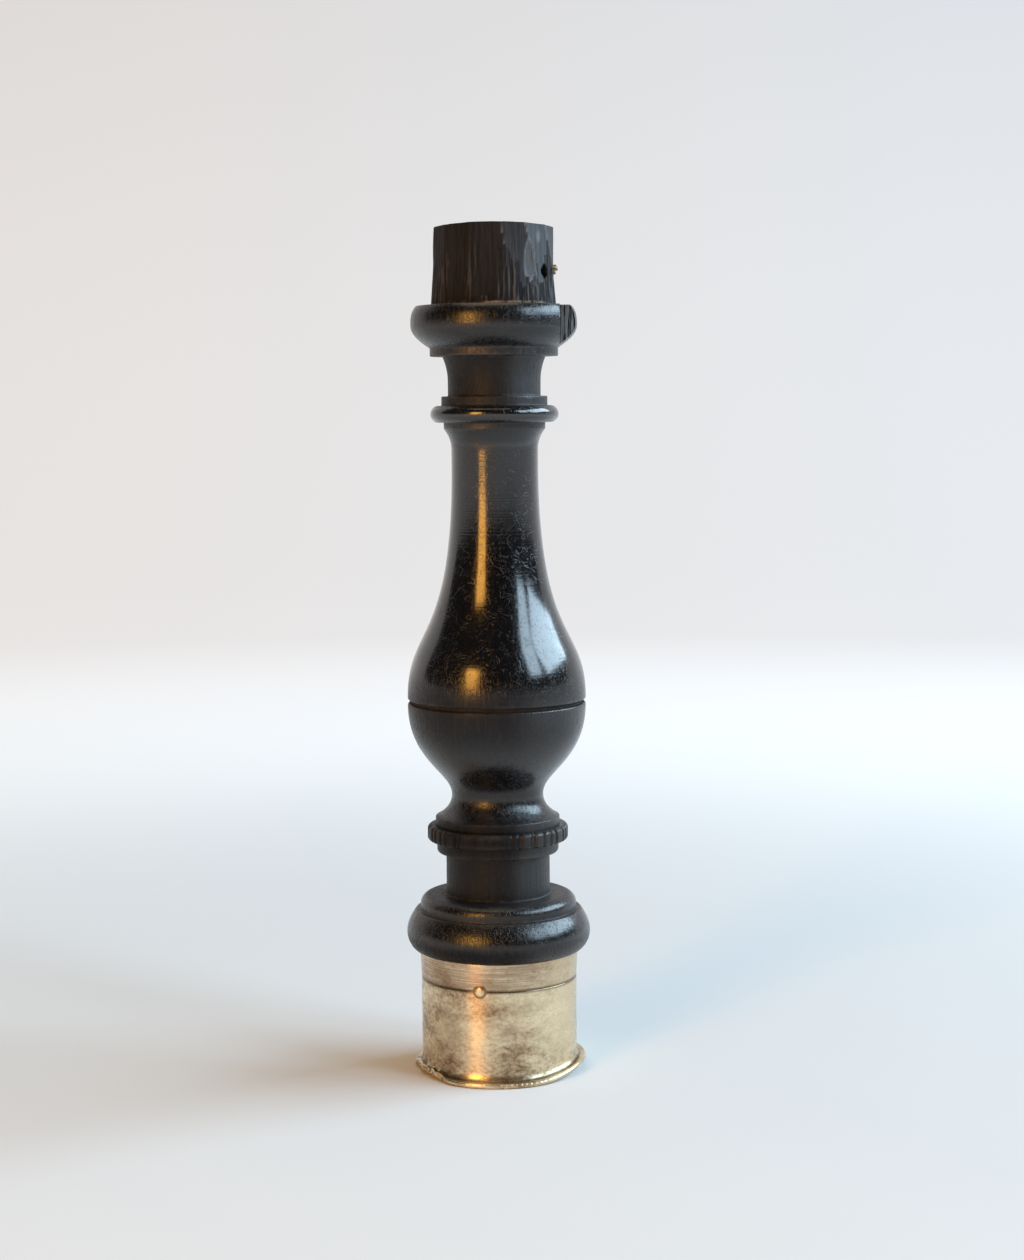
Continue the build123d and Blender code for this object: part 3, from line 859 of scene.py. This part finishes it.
def tarnished_silver(name, bright, brown, tarnish):
    """Silver brushed round about, so that lights stretch upright, browned above the line and by dirt."""
    material, nodes = new_material(name)
    stain = nodes.effect(tarnish_effect)
    place = nodes.place()
    along = nodes.parts(place)
    spots = nodes.ramp(stain["Spots"], 0.4, 0.7)
    # Tarnish and its brush streaks thin out towards +X, so that side is lighter.
    side_weight = nodes.ramp(along["X"], 0.35 * ferrule_radius * MM, 0.85 * ferrule_radius * MM, 1.0, 0.4)
    amount = nodes.plus(nodes.times(nodes.ramp(stain["Clouds"], 0.36, 0.64), 0.6), nodes.times(spots, 0.45))
    amount = nodes.times(amount, nodes.ramp(stain["Regions"], 0.4, 0.6, 0.65, 1.2), side_weight)
    above_line = nodes.ramp(along["Z"], (line_level - 0.1) * MM, (line_level + 0.1) * MM)
    streaked = nodes.times(nodes.ramp(stain["Brushing"], 0.36, 0.62, 0.2, 0.75), side_weight)
    dirty = nodes.times(nodes.stored("foot"), nodes.plus(0.05, nodes.times(spots, 0.45)))
    colour = nodes.layers(
        bright,
        (nodes.times(amount, tarnish), brown),
        (nodes.times(above_line, streaked), (0.36, 0.245, 0.17, 1)),
        (dirty, (0.2, 0.125, 0.065, 1)),
        # Brown tarnish in the hollows; on the pins this crease is the painted shade round each head.
        (nodes.times(nodes.ramp(nodes.stored("crease"), 0.1, 0.8), 0.75), (0.07, 0.042, 0.016, 1)),
    )
    rough = nodes.plus(0.22, nodes.times(amount, 0.13), nodes.times(stain["Brushing"], 0.08),
                       nodes.times(dirty, 0.2))
    nodes.finish({"Base Color": colour, "Metallic": 1.0, "Roughness": rough,
                  "Normal": nodes.relief((stain["Brushing"], 0.014), (stain["Spots"], 0.012)),
                  "Anisotropic": 0.75, "Tangent": nodes.vector("ADD", place, (0, 0, 0.03))[0]})
    return material


def mottled(name, dark, light, scale, roughness, depth):
    """A dull material of two colours in fine patches."""
    material, nodes = new_material(name)
    patches = nodes.cloud(scale, 5.0, 0.65)
    colour = nodes.layers(dark, (nodes.ramp(patches, 0.35, 0.7), light))
    nodes.finish({"Base Color": colour, "Roughness": roughness, "Normal": nodes.relief((patches, depth))})
    return material


# Hand work on the turned meshes

def polar_of(mesh):
    """Each vertex's place, and its radius, azimuth from the front in radians, and height."""
    places = np.empty(len(mesh.vertices) * 3)
    mesh.vertices.foreach_get("co", places)
    places = places.reshape(-1, 3) / MM
    x, y, height = places.T
    return places, np.hypot(x, y), np.arctan2(x, -y), height


def place_polar(mesh, radius, azimuth, height):
    places = np.column_stack([radius * np.sin(azimuth), -radius * np.cos(azimuth), height])
    mesh.vertices.foreach_set("co", (places * MM).astype(np.float32).ravel())
    mesh.update()


def store(mesh, name, values):
    attribute = mesh.attributes.get(name) or mesh.attributes.new(name, "FLOAT", "POINT")
    attribute.data.foreach_set("value", np.asarray(values, np.float32))


def stored(mesh, name):
    """A named value of every vertex, or 0 where the mesh has none."""
    values = np.zeros(len(mesh.vertices), np.float32)
    if name in mesh.attributes:
        mesh.attributes[name].data.foreach_get("value", values)
    return values


def wander(places, *cells):
    """Smooth noise of about -1 to 1 with the given cell sizes along X, Y and Z."""
    return np.array([noise.noise(p) for p in (places / np.array(cells)).tolist()])


def smooth_step(value, low, high):
    t = np.clip((value - low) / (high - low), 0, 1)
    return t * t * (3 - 2 * t)


def plateau(value, rise_low, rise_high, fall_low, fall_high):
    """1 between a smooth rise and a smooth fall."""
    return smooth_step(value, rise_low, rise_high) * (1 - smooth_step(value, fall_low, fall_high))


def angle_from(azimuth, facing):
    """Signed angle in radians from a direction in degrees."""
    return (azimuth - np.radians(facing) + math.pi) % math.tau - math.pi


def thread_height(places, low, high, clearance):
    """How far the right-hand ridge stands out of the spigot at each point."""
    turns = np.arctan2(places[:, 1], places[:, 0]) / math.tau
    rise = places[:, 2] / thread_lead - turns
    off = np.abs(rise - np.round(rise)) * thread_lead
    crest, root = ridge_half_crest + clearance, ridge_half_root + clearance
    centre = (np.round(rise) + turns) * thread_lead
    ends = plateau(centre, low - thread_fade, low + thread_fade, high - thread_fade, high + thread_fade)
    return ridge_depth * np.clip((root - off) / (root - crest), 0, 1) * ends


def smooth_edges(thing):
    """Shades a mesh smooth except across its sharp edges."""
    for polygon in thing.data.polygons:
        polygon.use_smooth = True
    thing.data.set_sharp_from_angle(angle=sharp_angle)


def cut_by(thing, cutter):
    """Takes one mesh out of another, whose material stays on the new faces and reads no stored value."""
    modifier = thing.modifiers.new("cut", "BOOLEAN")
    modifier.operation = "DIFFERENCE"
    modifier.solver = "EXACT"
    modifier.material_mode = "TRANSFER"
    modifier.object = cutter
    mesh = evaluated(thing)
    thing.modifiers.clear()
    old = thing.data
    name = old.name
    thing.data = mesh
    bpy.data.meshes.remove(old)
    mesh.name = name
    bpy.data.objects.remove(cutter)


def whittle(mesh):
    """Cuts the tenon's knife facets and leaves torn fibre between and below them."""
    places, radius, azimuth, height = polar_of(mesh)
    turn = np.degrees(azimuth)
    below = tenon_top - height
    on_tenon = (radius > tenon_radius - 1.0) & (height > cap_torus_top + 0.05)
    low_down = 1 - smooth_step(height, cap_torus_top + 2.0, tenon_top - 1.5)
    fibre = wander(places, 0.3, 0.3, 5.0) + 0.6 * wander(places, 0.8, 0.8, 9.0)
    uneven = facet_unevenness * wander(places, 2.0, 2.0, 4.0)
    uncut = np.full(len(places), 99.0)
    reaches = []
    for facing, twist, bite, run_out, gloss in knife_facets:
        depth = bite - run_out * below + uneven
        off = np.abs(angle_from(azimuth, facing + twist * (tenon_top - tenon_taper_top - below)))
        flat = (tenon_radius - depth) / np.cos(np.minimum(off, facet_reach))
        reaches.append((np.where((off < facet_reach) & (depth > 0), flat, uncut), gloss))
    for facing, drop, half_length, depth, half_width, gloss in hollow_cuts:
        off = angle_from(azimuth, facing) / math.radians(half_width)
        hollow = 1 - ((below - drop) / half_length) ** 2 - off ** 2
        reaches.append((np.where(hollow > 0, tenon_radius - depth * hollow, uncut), gloss))
    shaped = radius - on_tenon * (fibre_depth + torn_depth * low_down) * np.maximum(fibre + 0.3, 0)
    knife = painted_sheen_and_gloss = np.zeros(len(places))
    last_cut = next_cut = uncut
    for reach, gloss in reaches:
        next_cut = np.minimum(next_cut, np.maximum(reach, last_cut))
        last_cut = np.minimum(last_cut, reach)
        cut = (reach < shaped) & on_tenon
        knife = np.where(cut, 1.0, knife)
        # A cut's gloss also sets how strongly its sheen is painted.
        painted_sheen_and_gloss = np.where(cut, gloss, painted_sheen_and_gloss)
        shaped = np.where(cut, reach, shaped)
    store(mesh, "knife", knife)
    store(mesh, "painted_sheen_and_gloss", painted_sheen_and_gloss)
    store(mesh, "torn", on_tenon * low_down * (1 - knife) * (0.45 + 0.55 * smooth_step(turn, 0, 30)))
    # A painted highlight along the ridges where a glossy cut meets the next.
    store(mesh, "ridge", smooth_step(painted_sheen_and_gloss, 0.02, 0.4) * np.exp(-((next_cut - shaped) / ridge_blur) ** 2))
    swept = 0.1 + 0.9 * plateau(turn, *dusty_azimuths)
    store(mesh, "crease", stored(mesh, "crease") * np.where(height > cap_torus_top - 0.5, swept, 1))
    sag = tenon_sag * (np.sin(azimuth) * radius / tenon_radius) ** 2
    sag = sag + tenon_roughness * np.maximum(wander(places, 1.5, 1.5, 1.5), 0)
    height = height - sag * smooth_step(height, tenon_top - 0.8, tenon_top)
    place_polar(mesh, shaped, azimuth, height)


def age(mesh):
    """Takes a mesh a little out of true and nicks its sharp edges, inwards only."""
    places, radius, azimuth, height = polar_of(mesh)
    waves = np.maximum(wander(places, 5.0, 5.0, 7.0) + 0.3, 0) * wood_wobble
    chips = np.maximum(wander(places, 0.9, 0.9, 0.6) - 0.15, 0) * stored(mesh, "wear") * edge_nicks
    place_polar(mesh, np.where(radius > 0.5, radius - waves - chips, radius), azimuth, height)


def lay_finish(mesh, levels):
    """Stores how polished, bare and dirty the wood is from level to level, less so on the rubbed side."""
    _, _, azimuth, height = polar_of(mesh)
    side_weight = plateau(np.degrees(azimuth), *rubbed_azimuths)
    at, *amounts = np.array(levels).T
    polish, bare, dirt = (np.interp(height, at, amount) for amount in amounts)
    store(mesh, "polish", polish + rubbed_polish * side_weight * (1 - polish))
    store(mesh, "bare", bare * (1 - side_weight))
    store(mesh, "grime", np.maximum(stored(mesh, "grime"), dirt))


def batter(mesh):
    """Bends the rim up on the right, pushes it in on the left, and leaves dirt in its dents and seam."""
    places, radius, azimuth, height = polar_of(mesh)
    turn = np.degrees(azimuth)
    seam = 1 - smooth_step(np.hypot(radius - lip_radius, height - die_top), 0.08, 0.4)
    bent = smooth_step(radius, bore_radius - 0.7, ferrule_radius + 0.2)
    bent = bent * (1 - smooth_step(height, die_top, batter_top))
    raised = plateau(turn, *rim_lift_azimuths)
    hit = np.exp(-((turn - dent_azimuth) / dent_spread) ** 4)
    dents = wander(places, 0.9, 0.9, 1.1) + 0.5 * wander(places + 7.0, 0.4, 0.4, 0.5)
    outer = smooth_step(radius, bore_radius + 0.2, die_radius - 0.3)
    dirt = bent * hit * smooth_step(dents, 0.1, 0.6)
    store(mesh, "crease", np.maximum.reduce([stored(mesh, "crease"), seam, dirt]))
    store(mesh, "foot", (1 - smooth_step(height, die_top + 0.2, die_top + 3.2)) * (height > die_top - 0.01))
    radius = radius - bent * outer * hit * (dent_depth + dent_raggedness * dents)
    buckled = hit * dent_lift * (1 + wander(places + 3.0, 1.2, 1.2, 3.0))
    height = height + bent * (rim_lift * raised + buckled)
    place_polar(mesh, radius, azimuth, np.maximum(height, 0))


def finished(made, name, *materials):
    """An object from a bmesh, which is freed."""
    mesh = bpy.data.meshes.new(name)
    made.to_mesh(mesh)
    made.free()
    for material in materials:
        mesh.materials.append(material)
    return added(name, mesh)


def sliced(made, place, normal):
    """Cuts the faces of a bmesh along a plane."""
    parts = made.verts[:] + made.edges[:] + made.faces[:]
    bmesh.ops.bisect_plane(made, geom=parts, plane_co=place, plane_no=normal)


def break_cutter(raw):
    """The missing block of the cap torus, with torn upright fibre on the faces that it left."""
    made = bmesh.new()
    bmesh.ops.create_cube(made, size=1.0)
    low = Vector((chip_side, chip_back - cap_torus_radius, cap_torus_low + 0.05))
    high = Vector((chip_side + chip_width, chip_back, cap_torus_top + 1.0))
    for vertex in made.verts:
        vertex.co = Vector([a + (b - a) * (c + 0.5) for a, b, c in zip(low, high, vertex.co)])
    for axis, count in enumerate(chip_cuts):
        for k in range(1, count):
            at = low.copy()
            at[axis] += (high[axis] - low[axis]) * k / count
            sliced(made, at, Vector([float(axis == n) for n in range(3)]))
    for vertex in made.verts:
        place = vertex.co.copy()
        torn = noise.noise([a / cell for a, cell in zip(place, tear_cells)])
        torn += 0.6 * noise.noise([a / cell for a, cell in zip(place, broad_tear_cells)])
        into_wood = chip_roughness * max(torn + 0.3, 0)
        if abs(place.y - high.y) < 1e-4:
            vertex.co.y += into_wood
        if abs(place.x - low.x) < 1e-4:
            vertex.co.x -= chip_side_share * into_wood
        vertex.co *= MM
    return finished(made, "missing_block", raw)


def bar(name, radius, height, inner, outer, level, azimuth, raggedness, material):
    """A rough round or oval bar along a radius."""
    made = bmesh.new()
    bmesh.ops.create_cone(made, cap_ends=True, segments=bar_segments, radius1=1.0, radius2=1.0, depth=1.0)
    for k in range(1, bar_slices):
        sliced(made, (0, 0, k / bar_slices - 0.5), (0, 0, 1))
    turn = Matrix.Rotation(math.radians(azimuth), 3, "Z")
    for vertex in made.verts:
        across, up, along = vertex.co
        rough = 1 + raggedness * noise.noise(Vector((across * 2.2, up * 2.2, along * 3 + azimuth)))
        out = inner + (along + 0.5) * (outer - inner)
        place = turn @ Vector((across * radius * rough, -out, up * height * rough))
        vertex.co = (place + Vector((0, 0, level))) * MM
    bmesh.ops.recalc_face_normals(made, faces=made.faces)
    return finished(made, name, material)


def give_material(thing, material, wanted):
    """Gives another material to the faces whose centre's radius and height are wanted."""
    mesh = thing.data
    mesh.materials.append(material)
    index = len(mesh.materials) - 1
    for polygon in mesh.polygons:
        centre = polygon.center / MM
        if wanted(math.hypot(centre.x, centre.y), centre.z):
            polygon.material_index = index


def merged_copy(node, name, cut_outside, material):
    """A copy of a CAD node's mesh with its triangles joined and its edges outside a radius cut finer."""
    made = bmesh.new()
    made.from_mesh(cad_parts[node].data)
    bmesh.ops.remove_doubles(made, verts=made.verts, dist=0.0005 * MM)
    rim = [edge for edge in made.edges if min(end.co.xy.length for end in edge.verts) > cut_outside * MM]
    bmesh.ops.subdivide_edges(made, edges=rim, cuts=rim_cuts)
    bmesh.ops.triangulate(made, faces=made.faces)
    return finished(made, name, material)


# Pieces

ebony = polished_ebony()
raw_ebony = bare_ebony()
broken_ebony = torn_ebony()
hollow_ebony = mottled("hollow_ebony", (0.002, 0.0018, 0.002, 1), (0.008, 0.007, 0.007, 1), 2600.0, 0.9,
                       0.05)
silver = tarnished_silver("tarnished_silver", (0.87, 0.72, 0.48, 1), (0.31, 0.19, 0.105, 1), 1.0)
pin_metal = tarnished_silver("pin_silver", (0.84, 0.68, 0.4, 1), (0.45, 0.3, 0.17, 1), 0.35)
leather = mottled("washer_leather", (0.008, 0.006, 0.005, 1), (0.03, 0.021, 0.016, 1), 1800.0, 0.85, 0.05)
cement = mottled("setting_cement", (0.05, 0.025, 0.02, 1), (0.14, 0.075, 0.05, 1), 900.0, 0.8, 0.04)
pale_wood = mottled("pale_wood", (0.28, 0.2, 0.11, 1), (0.72, 0.62, 0.45, 1), 2600.0, 0.75, 0.05)
turning = turning_tree()


def handle_half(name, outline, finish, wall, wall_low, wall_top, thread):
    """A turned half of the handle with the thread on its spigot or in its socket, aged and finished."""
    thing = grown(name, outline, turning, {"Segments": segments, "Finish": ebony})
    places, radius, azimuth, height = polar_of(thing.data)
    on_wall = (np.abs(radius - wall) < wall_tolerance) & (height > wall_low) & (height < wall_top)
    place_polar(thing.data, radius + on_wall * thread_height(places, *thread), azimuth, height)
    age(thing.data)
    lay_finish(thing.data, finish)
    return thing


def make_upper_handle():
    thing = handle_half("upper_handle_wood", upper_handle_outline(), upper_finish, spigot_radius,
                        spigot_low - 1.0, joint_top - 0.2, (ridge_low, ridge_top, 0.0))
    whittle(thing.data)
    tenon_wall = tenon_foot_radius + 0.05
    give_material(thing, raw_ebony,
                  lambda r, z: z < joint_top + 0.01 or (z > cap_torus_top + 0.02 and r < tenon_wall))
    cut_by(thing, break_cutter(broken_ebony))
    cut_by(thing, bar("peg_hole", hole_radius, hole_height, tenon_radius - hole_depth, cap_torus_radius,
                      hole_level, hole_azimuth, 0.6, hollow_ebony))
    return thing


def make_lower_handle():
    thing = handle_half("lower_handle_wood", lower_handle_outline(), lower_finish, socket_radius,
                        socket_low + 0.2, joint_low + 1.0,
                        (groove_low, joint_low + thread_lead, thread_clearance))
    in_thread = socket_radius + ridge_depth + 0.1
    give_material(thing, raw_ebony, lambda r, z: z < ferrule_mouth - 0.01 or z > joint_low - 0.01
                  or (z > socket_low - 0.5 and r < in_thread))
    return thing


def make_coin_ring():
    values = {"Segments": ring_segments, "Finish": ebony, "Count": notch_count, "Depth": notch_depth * MM,
              "Width": notch_width, "Jitter": notch_jitter, "Worn Angle": math.radians(worn_azimuth - 90),
              "Worn Spread": math.radians(worn_spread), "Worn Left": worn_left,
              "Nick Angle": math.radians(nick_azimuth - 90), "Nick Width": math.radians(nick_width),
              "Seed": 5}
    thing = grown("coin_edged_ring", coin_ring_outline(), coin_edge_tree(turning), values)
    lay_finish(thing.data, lower_finish)
    return thing


def make_ferrule():
    values = {"Segments": ferrule_segments, "Finish": silver}
    thing = grown("ferrule_silver", ferrule_outline(), turning, values)
    places, radius, azimuth, height = polar_of(thing.data)
    outside = smooth_step(radius, bore_radius + 0.1, bore_radius + 0.4)
    radius = radius - outside * ferrule_wobble * np.maximum(wander(places, 4.0, 4.0, 3.0) + 0.4, 0)
    place_polar(thing.data, radius, azimuth, height)
    batter(thing.data)
    return thing


def make_die_plate():
    thing = merged_copy("die_plate", "die_plate_silver", die_radius - 0.5, silver)
    batter(thing.data)
    smooth_edges(thing)
    return thing


def make_pins():
    values = {"Segments": pin_segments, "Finish": pin_metal, "Count": pin_count, "Level": line_level * MM,
              "First Angle": math.radians(pin_azimuth)}
    thing = grown("ferrule_pin_heads", pin_outline(), peg_ring_tree(turning), values)
    _, radius, azimuth, height = polar_of(thing.data)
    step = math.tau / pin_count
    off = (azimuth - math.radians(pin_azimuth) + step / 2) % step - step / 2
    from_axis = np.hypot(radius * np.sin(off), height - line_level)
    # Darkens the head's edge and its rim as painted shade of the gap round each pin.
    store(thing.data, "crease", smooth_step(from_axis, 0.92 * pin_radius, pin_radius))
    return thing


def make_stub():
    """The snapped pin with a tuft of slivers at its broken end."""
    thing = bar("snapped_pin", stub_radius, stub_radius, stub_inner, stub_outer, stub_level, stub_azimuth,
                0.25, pale_wood)
    made = bmesh.new()
    made.from_mesh(thing.data)
    for k in range(sliver_count):
        out, up, around_pin = (noise.noise((1.37 * k + 0.5, 0.3, row + 0.7)) for row in range(3))
        outer = stub_outer + sliver_reach + sliver_spread_out * out
        azimuth = stub_azimuth - sliver_lean + sliver_spread_round * around_pin
        sliver = bar("sliver", sliver_radius, sliver_radius, outer - sliver_length, outer,
                     stub_level + sliver_spread_up * up, azimuth, 0.6, pale_wood)
        made.from_mesh(sliver.data)
        bpy.data.objects.remove(sliver)
    made.to_mesh(thing.data)
    made.free()
    smooth_edges(thing)
    return thing


pieces = [
    (make_upper_handle(), "upper_handle", ["upper_handle"], "ebony"),
    (make_lower_handle(), "seal_end", ["lower_handle"], "ebony"),
    (make_coin_ring(), "seal_end", [], "ebony"),
    (make_ferrule(), "seal_end", ["ferrule"], "silver"),
    (make_die_plate(), "seal_end", ["die_plate"], "silver"),
    (make_pins(), "seal_end", ["ferrule_pins"], "pin_silver"),
    (make_stub(), "upper_handle", ["broken_pin"], "stub_wood"),
]
for thing, body, nodes_stood_for, slot in pieces:
    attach(thing, body)
    for node in nodes_stood_for:
        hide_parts(node)
for node, material in (("joint_washer", leather), ("cement_bed", cement)):
    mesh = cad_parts[node].data
    mesh.materials.clear()
    mesh.materials.append(material)


# Stage, light and camera

middle = (0.0, 0.0, 0.055)


def pale_paper():
    """Paper that shows at a pale level beyond the object's shadows, in a glow tinted with painted
    lamplight.
    """
    material, nodes = new_material("pale_paper")
    place = nodes.place()
    across = nodes.parts(place)
    apart = nodes.vector("LENGTH", nodes.vector("MULTIPLY", place, (1, 1, 0))[0])["Value"]
    colour = nodes.layers((0.77, 0.8, 0.83, 1), (nodes.cloud(3.0, 2.0), (0.79, 0.815, 0.84, 1)),
                          (nodes.ramp(apart, 0.22, 0.6), (0.08, 0.08, 0.08, 1)))
    # Painted lamplight in the glow: warm to the left, cool to the right, and a little dimmer higher up.
    to_right = nodes.ramp(across["X"], -0.4, 0.4)
    painted_lamp_tint = nodes.layers((0.75, 0.712, 0.69, 1), (to_right, (0.735, 0.758, 0.79, 1)))
    rays = nodes.add("ShaderNodeLightPath").outputs
    seen = nodes.math("MAXIMUM", rays["Is Camera Ray"], rays["Is Glossy Ray"])
    seen = nodes.math("MAXIMUM", seen, rays["Is Transmission Ray"])
    glow = nodes.times(seen, nodes.ramp(apart, 0.06, 0.56), nodes.ramp(across["Z"], 0.05, 0.5, 1.0, 0.9))
    nodes.finish({"Base Color": colour, "Roughness": 0.9, "Specular IOR Level": 0.1, "Emission Color": painted_lamp_tint,
                  "Emission Strength": glow})
    return material


def make_backdrop():
    """A pale floor that sweeps up into a wall behind and has a low wall far off on the other sides."""
    front, back, wide, rise, bend, low_wall = -3.0, 1.2, 3.0, 2.0, 0.5, 0.3
    profile = [(front, low_wall), (front, 0.0), (back - bend, 0.0)]
    bend_steps = 16
    for k in range(1, bend_steps + 1):
        angle = k / bend_steps * math.pi / 2
        profile.append((back - bend + bend * math.sin(angle), bend - bend * math.cos(angle)))
    profile.append((back, rise))
    columns = [(-wide, low_wall), (-wide, 0.0), (wide, 0.0), (wide, low_wall)]
    corners = [(x, y, z + lift) for y, z in profile for x, lift in columns]
    starts = [4 * k + n for k in range(len(profile) - 1) for n in range(3)]
    mesh = bpy.data.meshes.new("backdrop")
    mesh.from_pydata(corners, [], [(start, start + 1, start + 5, start + 4) for start in starts])
    mesh.materials.append(pale_paper())
    thing = added("backdrop", mesh)
    smooth_edges(thing)
    return thing


def around(azimuth, elevation, distance):
    """A place round the object's middle, in degrees and metres."""
    a, e = math.radians(azimuth), math.radians(elevation)
    outward = Vector((math.sin(a) * math.cos(e), -math.cos(a) * math.cos(e), math.sin(e)))
    return Vector(middle) + distance * outward


def add_lamp(name, place, size, power, colour):
    """A lamp with a rectangular face that looks at the object's middle."""
    lamp = bpy.data.lights.new(name, "AREA")
    lamp.shape = "RECTANGLE"
    lamp.size, lamp.size_y = size
    lamp.energy = power
    lamp.color = colour
    thing = bpy.data.objects.new(name, lamp)
    thing.location = place
    thing.rotation_euler = (Vector(middle) - Vector(place)).to_track_quat("-Z", "Y").to_euler()
    bpy.context.scene.collection.objects.link(thing)


make_backdrop()
daylight, lamplight, fill = (0.62, 0.83, 1.0), (1.0, 0.47, 0.09), (1.0, 0.85, 0.67)
add_lamp("near_pane", around(56, 31, 1.3), (0.36, 0.6), 5.5, daylight)
add_lamp("far_pane", around(97, 31, 1.3), (1.1, 0.6), 20.0, daylight)
add_lamp("ceiling", (-0.1, 0.0, 1.6), (1.3, 1.3), 9.5, fill)
add_lamp("warm_lamp", around(-33, 15, 0.6), (0.18, 0.28), 1.8, lamplight)

world = bpy.data.worlds.new("room")
world.use_nodes = True
world.node_tree.nodes["Background"].inputs["Color"].default_value = (1.0, 0.97, 0.94, 1)
world.node_tree.nodes["Background"].inputs["Strength"].default_value = 0.05
bpy.context.scene.world = world
bpy.context.scene.view_settings.view_transform = "Standard"

camera_place = (0.00205, -0.29744, 0.08646)
camera_tilt = 5.513
camera_roll = -0.44
camera_data = bpy.data.cameras.new("camera")
camera_data.lens = 65.71
camera_data.sensor_width = 36.0
camera_data.clip_start = 0.01
camera = bpy.data.objects.new("camera", camera_data)
pitch = Matrix.Rotation(math.radians(90 - camera_tilt), 3, "X")
roll = Matrix.Rotation(math.radians(camera_roll), 3, "Z")
camera.rotation_euler = (pitch @ roll).to_euler()
camera.location = camera_place
bpy.context.scene.collection.objects.link(camera)
bpy.context.scene.camera = camera
